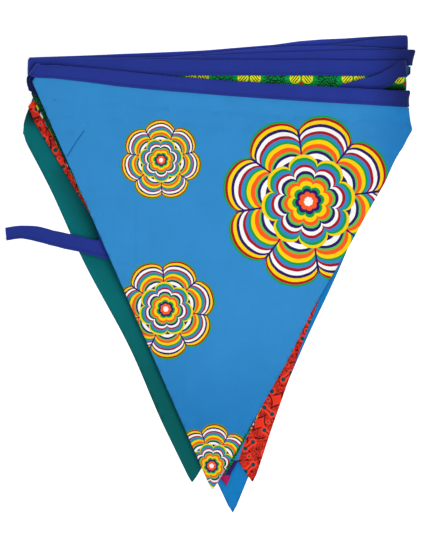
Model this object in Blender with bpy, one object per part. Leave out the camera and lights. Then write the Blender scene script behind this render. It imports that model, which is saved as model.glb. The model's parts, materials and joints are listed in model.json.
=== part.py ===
# Flag bunting, folded back and forth and laid on a surface.
# Six triangular flags are held by their top edges in one folded binding, which runs to the right and
# to the left over the stack and ends in a free tie. All sizes are in millimetres until a mesh is made.
# +X is to the right, +Y from the flags' tips to the binding, +Z up from the surface.
import math

import bmesh
import bpy
import numpy as np

MM = 0.001

# Binding: a strip of cotton folded in two, open along its lower edge
TAPE_WIDTH = 10.0
TAPE_WALL = 0.5
TAPE_SLOT = 1.8
SLOT_DEPTH = 8.0
FOLD_ROUND = 1.0
FOLD_DROP = 0.7

# Flags
CLOTH = 1.0
FLAG_IN_SLOT = 7.0
TIP_WIDTH = 2.0
NOTCH = 0.7
SLOT_END = 1.0

# How the layers lie on each other
LAYER_GAP = 0.7
REACH = 5.0
TURN_GAP = 0.3
EASE_ROUNDS = 80
SOFTEN_ROUNDS = 3
EASE_ALONG = 12
HANG_FADE = 28.0
BOW_FADE = 60.0

# Steps of the meshes and of the height map
PITCH = 10.0
TIE_PITCH = 8.0
BEND_STEPS = 6
CELL = 2.5
JOIN = 0.05
MAP_X = (-155.0, 150.0)
MAP_Y = (-175.0, 170.0)
FOLD_MARGIN = 6.0
CREASE_FADE = 12.0
STEEPEST = 1.3

TAPE_THICK = TAPE_SLOT + 2 * TAPE_WALL
HALF = TAPE_WIDTH / 2
MOUTH = -HALF
BELOW_MOUTH = MOUTH - NOTCH
TURN_RADIUS = (CLOTH + TURN_GAP) / 2

# Where the middle of the binding is folded, from the hidden end at the back to the free end of the tie
FOLDS = [
    # name,             x,      y,   crease
    ("back end",      -117.5, 127.6, "straight"),
    ("right, back",    119.0, 142.8, "straight"),
    ("left, back",    -115.1, 126.5, "straight"),
    ("right, wide",    123.1, 134.1, "straight"),
    ("left, front",   -115.1, 126.8, "straight"),
    ("right, front",   118.4, 127.2, "straight"),
    ("under front",     72.6, 109.0, "straight"),
    ("right, top",     117.7, 107.8, "straight"),
    ("left, top",     -113.0, 124.2, "bisector"),
    ("tie",            -61.8,  10.7, "bisector"),
    ("tie end",       -132.1,  21.6, "straight"),
]

# One length of the binding between each two folds. Bow and sway bend its middle line in the plane,
# bow towards +Y and sway that way in the first half and the other way in the second. Level is its
# place in the stack, from the surface up. The folded edge is the one away from the open mouth: up the
# stack's plan on a band that holds a flag, left or right of the way it runs on the tie
RUNS = [
    # name,       bow,  sway, level, folded edge
    ("back",      -1.4, -0.5, 0, "up"),
    ("second",   -11.0,  4.0, 1, "up"),
    ("third",      2.4, -2.7, 2, "up"),
    ("fourth",     0.2,  0.7, 3, "up"),
    ("fifth",      0.6,  0.0, 4, "up"),
    ("slanting",  -2.0, -1.0, 5, "up"),
    ("return",     0.6,  0.0, 8, "up"),
    ("front",     -1.2,  0.0, 9, "up"),
    ("tie down",   2.0,  0.8, 7, "left"),
    ("tie out",    2.6, -1.6, 6, "right"),
]

# The flags: tip, and where the side edges would meet the binding's lower edge. A side that passes its
# limit there is turned under along a crease that starts at the limit and leans by lean mm per mm, or is
# cut off straight where lean is None. The right edge bulges by bulge at its middle
FLAGS = [
    # name,           run,      tip_x,  tip_y,   left,   limit,  lean,  right, limit, lean, bulge
    ("flag_6_teal",   "back",   -14.3, -135.0, -139.5, -109.7, -0.33, 140.0, 119.9, None,  0.0),
    ("flag_5_blue",   "second",  11.2, -154.1, -118.5, -114.8, None,  135.7, 120.8, None, -1.6),
    ("flag_4_red",    "third",   23.7, -134.7, -130.7, -105.4, -0.60, 118.4, 125.0, None,  0.0),
    ("flag_3_print",  "fourth",   7.2, -137.1, -121.0, -115.8, None,  123.7, 125.0, None,  0.0),
    ("flag_2_green",  "fifth",    6.3, -130.3, -121.3, -115.8, None,  138.0, 120.2, None,  0.0),
    ("flag_1_print",  "front",   -1.5, -139.6, -115.5, -118.0, None,  132.4, 121.2, 0.1,   1.6),
]

COLOURS = {
    # piece: base colour, linear
    "binding": (0.020, 0.042, 0.305),
    "flag_6_teal": (0.005, 0.114, 0.114),
    "flag_5_blue": (0.012, 0.209, 0.552),
    "flag_4_red": (0.753, 0.038, 0.017),
    "flag_3_print": (0.060, 0.260, 0.590),
    "flag_2_green": (0.002, 0.305, 0.061),
    "flag_1_print": (0.034, 0.254, 0.591),
}
CLOTH_ROUGHNESS = 0.85


def fade(distance, length):
    """1 at the start, smoothly down to 0 at the given length."""
    t = np.clip(distance / length, 0.0, 1.0)
    return 1.0 - t * t * (3.0 - 2.0 * t)


class HeightMap:
    """Heights over the surface on a square raster."""

    def __init__(self):
        # The bare surface lies one gap low, so what comes down to it touches it
        xs = np.arange(MAP_X[0], MAP_X[1] + CELL, CELL)
        ys = np.arange(MAP_Y[0], MAP_Y[1] + CELL, CELL)
        self.x, self.y = np.meshgrid(xs, ys, indexing="ij")
        self.top = np.full(self.x.shape, -LAYER_GAP)

    def blur(self, z):
        """Mean of each cell and its eight neighbours."""
        padded = np.pad(z, 1, mode="edge")
        rows = padded[:-2] + padded[1:-1] + padded[2:]
        return (rows[:, :-2] + rows[:, 1:-1] + rows[:, 2:]) / 9.0

    def eased(self, lift=0.0):
        """Underside of a cloth laid over everything so far: it spans steps and slopes down beside them."""
        support = self.top + lift
        z = support
        for _ in range(EASE_ROUNDS):
            z = np.maximum(support, self.blur(z))
        for _ in range(SOFTEN_ROUNDS):
            z = self.blur(z)
        return z + LAYER_GAP

    def at(self, z, x, y):
        """Height of a map at a point, between its cells."""
        i = (x - MAP_X[0]) / CELL
        j = (y - MAP_Y[0]) / CELL
        i0, j0 = int(i), int(j)
        u, v = i - i0, j - j0
        near = z[i0, j0] * (1 - u) + z[i0 + 1, j0] * u
        far = z[i0, j0 + 1] * (1 - u) + z[i0 + 1, j0 + 1] * u
        return near * (1 - v) + far * v

    def raise_to(self, x, y, z):
        """Note that something reaches height z at (x, y)."""
        i = int(round((x - MAP_X[0]) / CELL))
        j = int(round((y - MAP_Y[0]) / CELL))
        self.top[i, j] = max(self.top[i, j], z)


def unit(vector):
    return vector / np.linalg.norm(vector)


class Run:
    """One length of the binding between two folds."""

    def __init__(self, index):
        self.name, self.bow, self.sway, self.level, self.folded = RUNS[index]
        self.start = np.array(FOLDS[index][1:3])
        self.end = np.array(FOLDS[index + 1][1:3])
        self.along = unit(self.end - self.start)
        self.length = float(np.linalg.norm(self.end - self.start))
        self.face = 1 if index % 2 == 0 else -1
        self.stations = []

    def middle(self, t):
        """Point of the middle line at t from 0 to 1."""
        side = np.array([-self.along[1], self.along[0]])
        if side[1] < 0:
            side = -side
        bend = self.bow * math.sin(math.pi * t) + self.sway * math.sin(2 * math.pi * t)
        return self.start + (self.end - self.start) * t + side * bend

    def ruling(self, t):
        """Vector across the binding, from its middle line towards its folded edge, for 1 mm of width."""
        near = 0.01
        run = unit(self.middle(min(t + near, 1.0)) - self.middle(max(t - near, 0.0)))
        if self.folded == "up":
            return np.array([0.0, min(1.0 / abs(run[0]), STEEPEST)])
        left = np.array([-run[1], run[0]])
        return left if self.folded == "left" else -left

    def places(self):
        """Where rulings stand: on the common columns for a band, evenly along a tie."""
        if self.folded != "up":
            count = round(self.length / TIE_PITCH)
            return [k / count for k in range(count + 1)]
        span = self.end[0] - self.start[0]
        low, high = sorted((self.start[0], self.end[0]))
        first = math.ceil((low + FOLD_MARGIN) / PITCH)
        last = math.floor((high - FOLD_MARGIN) / PITCH)
        inner = sorted((k * PITCH - self.start[0]) / span for k in range(first, last + 1))
        return [0.0] + inner + [1.0]


def crease(index, runs):
    """Vector along fold number index for 1 mm of the binding's width, towards its folded edge."""
    kind = FOLDS[index][3]
    if kind == "straight":
        run = runs[min(index, len(runs) - 1)]
        return run.ruling(1.0) if index == len(runs) else np.array([0.0, 1.0])
    arriving = runs[index - 1].along
    leaving = runs[index].along
    line = unit(-(arriving + leaving))
    return line / abs(line[0] * arriving[1] - line[1] * arriving[0])


def lay_run(index, runs, heights, under):
    """Set the stations of one run, each a middle point, a ruling and the heights of its two edges."""
    run = runs[index]
    first, last = crease(index, runs), crease(index + 1, runs)
    turn = CREASE_FADE / run.length
    laid, bottoms = [], []
    for t in run.places():
        ruling = run.ruling(t)
        ruling = ruling + (first - ruling) * fade(t, turn) + (last - ruling) * fade(1 - t, turn)
        middle = run.middle(t)
        edges = []
        for w in (-HALF, 0.0, HALF):
            samples = []
            for near in (-0.5 * TIE_PITCH, 0.0, 0.5 * TIE_PITCH):
                spot = middle + ruling * w + run.along * near
                samples.append(heights.at(under, spot[0], spot[1]))
            edges.append(max(samples))
        lift = max(0.0, edges[1] - (edges[0] + edges[2]) / 2)
        laid.append((t, middle, ruling))
        bottoms.append((edges[0] + lift, edges[2] + lift))
    bottoms = np.array(bottoms)
    for _ in range(EASE_ALONG):
        means = (bottoms[:-2] + bottoms[2:]) / 2
        bottoms[1:-1] = np.maximum(bottoms[1:-1], means)
    for (t, middle, ruling), bottom in zip(laid, bottoms):
        run.stations.append((t, middle, ruling, bottom + TAPE_THICK / 2))


def cover_run(run, heights):
    """Add a laid run to the heights, out to the reach beyond its edges and its folds."""
    stations = run.stations
    stretch = REACH / run.length
    steps = 10
    widths = np.linspace(-HALF - REACH, HALF + REACH, math.ceil((TAPE_WIDTH + 2 * REACH) / CELL) + 2)
    for a, b in zip(stations[:-1], stations[1:]):
        start = -stretch / (b[0] - a[0]) if a is stations[0] else 0.0
        stop = 1.0 + stretch / (b[0] - a[0]) if b is stations[-1] else 1.0
        for s in np.linspace(start, stop, math.ceil((stop - start) * steps) + 1):
            middle = a[1] + (b[1] - a[1]) * s
            ruling = a[2] + (b[2] - a[2]) * s
            z = a[3] + (b[3] - a[3]) * min(max(s, 0.0), 1.0)
            for w in widths:
                spot = middle + ruling * w
                share = min(max((w + HALF) / TAPE_WIDTH, 0.0), 1.0)
                heights.raise_to(spot[0], spot[1], z[0] + (z[1] - z[0]) * share + TAPE_THICK / 2)


class Flag:
    """One flag's cut outline, in x and w, where w is measured up from its run's middle line."""

    def __init__(self, row, run):
        (self.name, _, tip_x, tip_y, left, self.left_limit, self.left_lean,
         right, self.right_limit, self.right_lean, self.bulge) = row
        self.run = run
        tip = np.array([tip_x, tip_y - self.base(tip_x)])
        half_tip = TIP_WIDTH / 2
        self.tips = [tip + (-half_tip, half_tip), tip + (half_tip, half_tip)]
        self.corners = [np.array([left, MOUTH]), np.array([right, MOUTH])]

    def base(self, x):
        """The run without its bow: a straight line from fold to fold."""
        run = self.run
        return run.start[1] + (run.end[1] - run.start[1]) * (x - run.start[0]) / (run.end[0] - run.start[0])

    def y_of(self, x, w):
        """World y; near the binding the cloth follows its bow, further down it hangs straight."""
        run = self.run
        t = min(max((x - run.start[0]) / (run.end[0] - run.start[0]), 0.0), 1.0)
        bow = run.bow * math.sin(math.pi * t) + run.sway * math.sin(2 * math.pi * t)
        return self.base(x) + w + bow * float(fade(MOUTH - w, BOW_FADE))

    def limit(self, side, w):
        """x of the crease or cut at w, for the left (0) or the right (1) side."""
        start = (self.left_limit, self.right_limit)[side]
        lean = (self.left_lean, self.right_lean)[side] or 0.0
        return start + lean * (MOUTH - w)

    def edge_x(self, side, w):
        """x of the uncut side edge at w."""
        corner, tip = self.corners[side], self.tips[side]
        return corner[0] + (tip[0] - corner[0]) * (corner[1] - w) / (corner[1] - tip[1])

    def crossing(self, side):
        """w at which the side edge passes its limit, or None where it doesn't."""
        sign = (-1, 1)[side]
        gap_top = sign * (self.edge_x(side, BELOW_MOUTH) - self.limit(side, BELOW_MOUTH))
        low = self.tips[0][1]
        gap_tip = sign * (self.edge_x(side, low) - self.limit(side, low))
        if gap_top <= 0:
            return None
        return BELOW_MOUTH + (low - BELOW_MOUTH) * gap_top / (gap_top - gap_tip)

    def held_x(self, side, w):
        """x of the end of the edge that is held in the binding, at w: on the flag and short of the fold."""
        station = sorted(self.run.stations, key=lambda station: station[1][0])[-side]
        fold_x = station[1][0] + station[2][0] * w
        own = self.edge_x(side, BELOW_MOUTH)
        if self.crossing(side) is not None:
            own = self.limit(side, BELOW_MOUTH)
        return min(fold_x - SLOT_END, own) if side else max(fold_x + SLOT_END, own)

    def bulged(self, x, w):
        """x moved out with the bulge of the right edge, less and less towards the left one."""
        low, high = self.edge_x(0, w), self.edge_x(1, w)
        share = min(max((x - low) / (high - low), 0.0), 1.0)
        down = min(max((MOUTH - w) / (MOUTH - self.tips[0][1]), 0.0), 1.0)
        return x + self.bulge * share * math.sin(math.pi * down)

    def sides(self):
        """Points down the left side and down the right side, each from just below the mouth to the tip."""
        lines = []
        for side, lean in enumerate((self.left_lean, self.right_lean)):
            cross = self.crossing(side)
            if cross is None or lean is not None:
                points = [(self.edge_x(side, BELOW_MOUTH), BELOW_MOUTH)]
            else:
                points = [(self.limit(side, BELOW_MOUTH), BELOW_MOUTH), (self.limit(side, cross), cross)]
            lines.append(points + [tuple(self.tips[side])])
        return lines

    def turned(self, x, w):
        """How far (x, w) lies beyond a crease, and that crease's side as -1 or 1; 0 where not turned."""
        if w > BELOW_MOUTH + JOIN:
            return 0.0, 0
        if self.left_lean is not None and x < self.limit(0, w):
            return self.limit(0, w) - x, -1
        if self.right_lean is not None and x > self.limit(1, w):
            return x - self.limit(1, w), 1
        return 0.0, 0


def run_height(run, x, w):
    """Height of the middle of the binding, and of a cloth held in it, at x and w."""
    stations = sorted(run.stations, key=lambda station: station[1][0])
    xs = [station[1][0] for station in stations]
    lower = np.interp(x, xs, [station[3][0] for station in stations])
    upper = np.interp(x, xs, [station[3][1] for station in stations])
    return lower + (upper - lower) * (w + HALF) / TAPE_WIDTH


def flag_cover(flag, heights, margin):
    """Cells that the flag covers, its turned corners folded in, out to a margin; and their w."""
    base = flag.base(heights.x)
    w = heights.y - base
    covered = w < FLAG_IN_SLOT + MOUTH + margin
    for side, sign in ((0, -1), (1, 1)):
        corner, tip = flag.corners[side], flag.tips[side]
        edge = corner[0] + (tip[0] - corner[0]) * (corner[1] - w) / (corner[1] - tip[1])
        lean = (flag.left_lean, flag.right_lean)[side]
        start = (flag.left_limit, flag.right_limit)[side]
        limit = start + (lean or 0.0) * (MOUTH - w)
        outer = np.minimum(sign * edge, sign * limit)
        covered &= sign * heights.x < outer + margin
    covered &= w > flag.tips[0][1] - margin
    return covered, w


def turned_cover(flag, heights, margin):
    """Cells over a corner that is turned under, out to a margin."""
    covered = np.zeros(heights.x.shape, dtype=bool)
    w = heights.y - flag.base(heights.x)
    for side, sign in ((0, -1), (1, 1)):
        lean = (flag.left_lean, flag.right_lean)[side]
        cross = flag.crossing(side)
        if lean is None or cross is None:
            continue
        limit = (flag.left_limit, flag.right_limit)[side] + lean * (MOUTH - w)
        corner, tip = flag.corners[side], flag.tips[side]
        edge = corner[0] + (tip[0] - corner[0]) * (corner[1] - w) / (corner[1] - tip[1])
        beyond = sign * (edge - limit)
        inside = sign * (limit - heights.x)
        covered |= (beyond > -margin) & (inside < beyond + margin) & (inside > -margin)
    return covered


def lay_flag(flag, heights, under):
    """Function giving the height of the flag's middle plane at (x, w)."""
    def rest(x, y):
        return heights.at(under, x, y) + CLOTH / 2

    def height(x, w):
        if w > BELOW_MOUTH - JOIN:
            return run_height(flag.run, x, w)
        y_mouth = flag.y_of(x, BELOW_MOUTH)
        held = run_height(flag.run, x, BELOW_MOUTH) - rest(x, y_mouth)
        return rest(x, flag.y_of(x, w)) + held * float(fade(BELOW_MOUTH - w, HANG_FADE))

    return height


def cover_flag(flag, heights, height):
    """Add a laid flag to the heights."""
    covered, w_map = flag_cover(flag, heights, REACH)
    for i, j in zip(*np.nonzero(covered)):
        x, w = heights.x[i, j], min(w_map[i, j], FLAG_IN_SLOT + MOUTH)
        w = max(w, flag.tips[0][1])
        heights.top[i, j] = max(heights.top[i, j], height(x, w) + CLOTH / 2)


def flag_plan(flag):
    """Flat mesh of the cut flag in (x, w), divided by the common columns, rows and crease lines."""
    left, right = flag.sides()
    bm = bmesh.new()
    top = FLAG_IN_SLOT + MOUTH
    held = [bm.verts.new((flag.held_x(side, w), w, 0)) for side, w in
            ((0, top), (0, BELOW_MOUTH), (1, BELOW_MOUTH), (1, top))]
    bm.faces.new(held)
    shared = (held[1].co.x, held[2].co.x)
    down_left = [bm.verts.new((x, w, 0)) for x, w in left if abs(x - shared[0]) > JOIN]
    up_right = [bm.verts.new((x, w, 0)) for x, w in reversed(right) if abs(x - shared[1]) > JOIN]
    bm.faces.new(down_left + up_right + [held[2], held[1]])

    def cut(point, normal):
        geometry = bm.verts[:] + bm.edges[:] + bm.faces[:]
        bmesh.ops.bisect_plane(bm, geom=geometry, plane_co=point, plane_no=normal, dist=1e-4)

    low = min(flag.corners[0][0], flag.limit(0, MOUTH))
    high = max(flag.corners[1][0], flag.limit(1, MOUTH))
    for k in range(math.floor(low / PITCH), math.ceil(high / PITCH) + 1):
        cut((k * PITCH, 0, 0), (1, 0, 0))
    rows = int((BELOW_MOUTH - flag.tips[0][1]) / PITCH)
    for k in range(1, rows + 1):
        cut((0, BELOW_MOUTH - k * PITCH, 0), (0, 1, 0))
    for side, lean, sign in ((0, flag.left_lean, -1), (1, flag.right_lean, 1)):
        if lean is None or flag.crossing(side) is None:
            continue
        for k in range(BEND_STEPS // 2 + 1):
            beyond = math.pi * TURN_RADIUS * k / (BEND_STEPS // 2)
            cut((flag.limit(side, MOUTH) + sign * beyond, MOUTH, 0), (1, lean, 0))
    bmesh.ops.remove_doubles(bm, verts=bm.verts[:], dist=JOIN)
    bmesh.ops.triangulate(bm, faces=bm.faces[:])
    return bm


def flag_point(flag, height, x, w, n):
    """World point of the cut flag's (x, w) at n above its middle plane."""
    x = flag.bulged(x, w)
    beyond, sign = flag.turned(x, w)
    if sign == 0:
        return x, flag.y_of(x, w), height(x, w) + n
    crease_x = flag.limit(0 if sign < 0 else 1, w)
    arc = math.pi * TURN_RADIUS
    if beyond < arc:
        angle = beyond / TURN_RADIUS
        radius = TURN_RADIUS + n
        z = height(crease_x, w) - TURN_RADIUS + radius * math.cos(angle)
        return crease_x + sign * radius * math.sin(angle), flag.y_of(x, w), z
    under_x = crease_x - sign * (beyond - arc)
    return under_x, flag.y_of(under_x, w), height(under_x, w) - 2 * TURN_RADIUS - n


def sheet_object(name, plan, place):
    """Closed sheet over a flat mesh: its two faces and the wall around it."""
    count = len(plan.verts)
    plan.verts.index_update()
    points = [place(v.co.x, v.co.y, CLOTH / 2) for v in plan.verts]
    points += [place(v.co.x, v.co.y, -CLOTH / 2) for v in plan.verts]
    faces = []
    for face in plan.faces:
        ring = [v.index for v in face.verts]
        if face.normal.z < 0:
            ring.reverse()
        faces.append(ring)
        faces.append([k + count for k in reversed(ring)])
    for edge in plan.edges:
        if len(edge.link_faces) != 1:
            continue
        face = edge.link_faces[0]
        a, b = edge.verts
        for loop in face.loops:
            if loop.edge == edge:
                a, b = loop.vert, loop.link_loop_next.vert
        if face.normal.z < 0:
            a, b = b, a
        faces.append([b.index, a.index, a.index + count])
        faces.append([b.index, a.index + count, b.index + count])
    plan.free()
    return mesh_object(name, points, faces)


def mesh_object(name, points, faces):
    """Object from points in millimetres."""
    mesh = bpy.data.meshes.new(name)
    mesh.from_pydata([(x * MM, y * MM, z * MM) for x, y, z in points], [], faces)
    mesh.update()
    obj = bpy.data.objects.new(name, mesh)
    bpy.context.collection.objects.link(obj)
    return obj


def tape_section():
    """Outline of the folded binding in (w, n): open at the mouth, closed and rounded at the top edge."""
    outer = TAPE_THICK / 2
    inner = TAPE_SLOT / 2
    deep = MOUTH + SLOT_DEPTH
    upper = [(MOUTH, outer), (HALF - FOLD_ROUND, outer), (HALF, outer - FOLD_DROP)]
    lower = [(w, -n) for w, n in reversed(upper)]
    slot = [(MOUTH, -inner), (deep, -inner), (deep, inner), (MOUTH, inner)]
    return upper + lower + slot


def station_ring(station, face, section):
    """The section set up on one ruling; face is 1 or -1 as the binding lies one way up or the other."""
    _, middle, ruling, z = station
    ring = []
    for w, n in section:
        spot = middle + ruling * w
        height = z[0] + (z[1] - z[0]) * (w + HALF) / TAPE_WIDTH
        ring.append((spot[0], spot[1], height + face * n))
    return ring


def bend_rings(before, after, arriving, face, section):
    """Rings of the half-round bend from the last ruling of one run to the first of the next."""
    _, middle, ruling, z_before = before
    z_after = after[3]
    line = unit(ruling)
    outward = unit(arriving - line * float(arriving @ line))
    climb = 1 if z_after.sum() > z_before.sum() else -1
    rings = []
    for k in range(1, BEND_STEPS):
        angle = math.pi * k / BEND_STEPS
        ring = []
        for w, n in section:
            share = (w + HALF) / TAPE_WIDTH
            start = z_before[0] + (z_before[1] - z_before[0]) * share
            stop = z_after[0] + (z_after[1] - z_after[0]) * share
            radius = abs(stop - start) / 2 - face * climb * n
            spot = middle + ruling * w + outward * radius * math.sin(angle)
            ring.append((spot[0], spot[1], (start + stop) / 2 - climb * radius * math.cos(angle)))
        rings.append(ring)
    return rings


def build_binding(runs):
    """The whole binding as one swept solid, from its hidden end to the end of the tie."""
    section = tape_section()
    rings = []
    for index, run in enumerate(runs):
        rings += [station_ring(station, run.face, section) for station in run.stations]
        if index + 1 < len(runs):
            following = runs[index + 1].stations[0]
            rings += bend_rings(run.stations[-1], following, run.along, run.face, section)
    size = len(section)
    points = [point for ring in rings for point in ring]
    faces = [list(range(size)), [len(points) - 1 - k for k in range(size)]]
    for k in range(len(rings) - 1):
        for i in range(size):
            j = (i + 1) % size
            a, b = k * size + i, k * size + j
            c, d = a + size, b + size
            faces.append([a, c, d])
            faces.append([a, d, b])
    obj = mesh_object("binding", points, faces)
    bm = bmesh.new()
    bm.from_mesh(obj.data)
    bmesh.ops.recalc_face_normals(bm, faces=bm.faces[:])
    bmesh.ops.triangulate(bm, faces=[face for face in bm.faces if len(face.verts) > 4])
    bm.to_mesh(obj.data)
    bm.free()
    return obj


def paint(obj):
    """Give a piece its own cotton material."""
    material = bpy.data.materials.new(obj.name)
    material.use_nodes = True
    shader = material.node_tree.nodes["Principled BSDF"]
    shader.inputs["Base Color"].default_value = (*COLOURS[obj.name], 1.0)
    shader.inputs["Roughness"].default_value = CLOTH_ROUGHNESS
    shader.inputs["Metallic"].default_value = 0.0
    obj.data.materials.append(material)


def stand_on_origin(objects):
    """Move every mesh so that the middle of the whole thing's underside is at the origin."""
    corners = np.array([vert.co[:] for obj in objects for vert in obj.data.vertices])
    low, high = corners.min(axis=0), corners.max(axis=0)
    shift = np.array([(low[0] + high[0]) / 2, (low[1] + high[1]) / 2, low[2]])
    for obj in objects:
        for vert in obj.data.vertices:
            vert.co = [c - s for c, s in zip(vert.co, shift)]


def build_flag(flag, index, runs, heights):
    """Lay a flag and the length of binding that holds it over what lies below them."""
    lift = np.where(turned_cover(flag, heights, REACH), 2 * TURN_RADIUS, 0.0)
    under = heights.eased(lift)
    lay_run(index, runs, heights, under)
    height = lay_flag(flag, heights, under)

    def place(x, w, n):
        return flag_point(flag, height, x, w, n)

    obj = sheet_object(flag.name, flag_plan(flag), place)
    cover_flag(flag, heights, height)
    return obj


def build():
    for obj in list(bpy.data.objects):
        bpy.data.objects.remove(obj)
    heights = HeightMap()
    runs = [Run(index) for index in range(len(RUNS))]
    flag_rows = {row[1]: row for row in FLAGS}
    objects = []
    for index, run in sorted(enumerate(runs), key=lambda item: item[1].level):
        if run.name in flag_rows:
            flag = Flag(flag_rows[run.name], run)
            objects.append(build_flag(flag, index, runs, heights))
        else:
            lay_run(index, runs, heights, heights.eased())
        cover_run(run, heights)
    objects.append(build_binding(runs))
    for obj in objects:
        paint(obj)
    stand_on_origin(objects)


build()
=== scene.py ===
# Looks of a folded flag bunting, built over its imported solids.
# Sizes are in millimetres where a name or a table says mm, and in metres in the meshes. The script
# follows the bunting as it is put together and folded: from the back flag, on the surface, up to
# the front one, then the binding that they are sewn into, its stitching, and the surface itself.
import json
import math

import bmesh
import bpy
import numpy as np
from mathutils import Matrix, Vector, noise

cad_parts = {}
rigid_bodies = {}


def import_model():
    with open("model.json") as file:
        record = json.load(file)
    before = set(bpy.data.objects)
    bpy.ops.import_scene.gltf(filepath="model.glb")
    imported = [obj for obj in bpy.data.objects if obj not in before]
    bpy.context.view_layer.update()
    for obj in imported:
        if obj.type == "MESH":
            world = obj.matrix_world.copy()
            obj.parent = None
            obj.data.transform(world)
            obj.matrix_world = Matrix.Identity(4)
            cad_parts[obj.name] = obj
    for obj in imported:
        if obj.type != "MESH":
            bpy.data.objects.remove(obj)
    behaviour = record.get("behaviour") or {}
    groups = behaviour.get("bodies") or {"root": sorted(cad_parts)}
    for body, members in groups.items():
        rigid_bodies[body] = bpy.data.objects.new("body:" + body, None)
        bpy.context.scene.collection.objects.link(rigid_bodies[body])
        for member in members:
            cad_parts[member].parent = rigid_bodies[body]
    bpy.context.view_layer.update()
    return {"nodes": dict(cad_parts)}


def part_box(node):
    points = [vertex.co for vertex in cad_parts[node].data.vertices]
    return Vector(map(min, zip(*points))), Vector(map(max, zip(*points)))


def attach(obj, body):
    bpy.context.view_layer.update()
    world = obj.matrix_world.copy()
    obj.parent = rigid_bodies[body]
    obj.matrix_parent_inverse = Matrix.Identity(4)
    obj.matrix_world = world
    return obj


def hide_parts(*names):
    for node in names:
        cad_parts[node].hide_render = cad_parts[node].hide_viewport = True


for leftover in list(bpy.data.objects):
    bpy.data.objects.remove(leftover)
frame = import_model()

# Back flag, plain teal
# A triangle of cotton cut double, sewn right sides together along its two long sides, turned right
# side out and pressed. Its raw top edge goes into the binding, and its left top corner is turned
# under. Painted shade darkens that corner and a band along the front flag's left edge.
MM = 0.001
CELL_MM = 4.0
MERGED_MM = 0.01
ON_CUT_MM = 0.02
SLIVER_MM = 0.3
HEM_TURN = math.radians(70)
SHARP_TURN = math.radians(50)
EASING_ROUNDS = 24
PRESSED_MM = 0.1
WAVE_MM = 0.35
WAVE_LENGTH_MM = 46.0
TROUGH_MM = 1.2
TROUGH_DEEP_MM = 0.25
TIP_END_MM = 0.3
TIP_REACH_MM = 3.5
TIP_NARROWING = 0.6


def laid_over_surface(points):
    """The slow rise and fall of soft cloth, the same for every layer so that they stay apart."""
    scale = 1.0 / (WAVE_LENGTH_MM * MM)
    rise = [noise.noise(Vector((x * scale, y * scale, 0.0))) for x, y, _ in points]
    return (np.array(rise) * 0.5 + 0.5) * WAVE_MM * MM


def near_in_plan(bm, middle, reach):
    """The faces within reach of a place in plan, with their corners and edges."""
    faces = [face for face in bm.faces if (face.calc_center_median().xy - middle).length < reach]
    chosen = set(faces)
    parts = bm.verts[:] + bm.edges[:]
    return [part for part in parts if chosen.intersection(part.link_faces)] + faces


def merged_copy(node):
    """A copy of a node's solid with its loose triangles joined."""
    bm = bmesh.new()
    bm.from_mesh(frame["nodes"][node].data)
    bmesh.ops.remove_doubles(bm, verts=bm.verts[:], dist=MERGED_MM * MM)
    return bm


def cut(bm, parts, place, normal):
    """New edges where a plane meets some parts of a mesh."""
    bmesh.ops.bisect_plane(bm, geom=parts, plane_co=place, plane_no=normal, dist=ON_CUT_MM * MM)


def cut_fine(node, cell_mm, creases):
    """A flag's solid cut into small cells and along its creases, and its hems' edges in plan."""
    bm = merged_copy(node)
    hems = []
    for edge in bm.edges:
        if edge.is_manifold and edge.calc_face_angle() > HEM_TURN:
            hems.append([edge.verts[0].co.xy[:], edge.verts[1].co.xy[:]])
    low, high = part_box(node)
    for axis, normal in ((0, Vector((1, 0, 0))), (1, Vector((0, 1, 0)))):
        cuts = int((high[axis] - low[axis]) / (cell_mm * MM))
        for k in range(1, cuts + 1):
            everything = bm.verts[:] + bm.edges[:] + bm.faces[:]
            cut(bm, everything, normal * (low[axis] + k * cell_mm * MM), normal)
    for start, end in creases:
        start, end = Vector((*start, 0.0)) * MM, Vector((*end, 0.0)) * MM
        normal = Vector((start.y - end.y, end.x - start.x, 0.0)).normalized()
        for aside in (-TROUGH_MM, 0.0, TROUGH_MM):
            nearby = near_in_plan(bm, ((start + end) / 2).xy, (end - start).length)
            cut(bm, nearby, start + normal * aside * MM, normal)
    bmesh.ops.remove_doubles(bm, verts=bm.verts[:], dist=SLIVER_MM * MM)
    return bm, np.array(hems)


def eased(bm):
    """Heights of the cut copy, evened out along the cloth but not round its edges and folds."""
    bm.verts.index_update()
    points = np.array([vert.co[:] for vert in bm.verts])
    pairs = np.array([[vert.index for vert in edge.verts] for edge in bm.edges])
    step = points[pairs[:, 1]] - points[pairs[:, 0]]
    flat = np.hypot(step[:, 0], step[:, 1]) > np.abs(step[:, 2])
    a, b = pairs[flat].T
    count = np.bincount(a, minlength=len(points)) + np.bincount(b, minlength=len(points))
    for _ in range(EASING_ROUNDS):
        z = points[:, 2]
        total = np.bincount(a, weights=z[b], minlength=len(points))
        total += np.bincount(b, weights=z[a], minlength=len(points))
        mean = np.where(count > 1, total / np.maximum(count, 1), z)
        points[:, 2] = (z + mean) / 2
    return points


def off_lines(points, lines):
    """Distance in plan of each point from the nearest of some straight lines, in millimetres."""
    start, along = lines[:, 0], lines[:, 1] - lines[:, 0]
    length = np.maximum((along ** 2).sum(axis=1), 1e-12)
    nearest = np.full(len(points), 1.0)
    for origin, run, size in zip(start, along, length):
        offset = points[:, :2] - origin
        share = np.clip(offset @ run / size, 0.0, 1.0)
        nearest = np.minimum(nearest, np.linalg.norm(offset - share[:, None] * run, axis=1))
    return nearest / MM


def pulled(points, pulls):
    """Corners and edges of soft cloth moved a little in plan, each with the cloth round it."""
    for x, y, reach, dx, dy in pulls:
        away = np.hypot(points[:, 0] / MM - x, points[:, 1] / MM - y)
        share = np.clip(1.0 - away / reach, 0.0, 1.0)
        share = share ** 2 * (3.0 - 2.0 * share)
        points[:, 0] += share * dx * MM
        points[:, 1] += share * dy * MM


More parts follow.
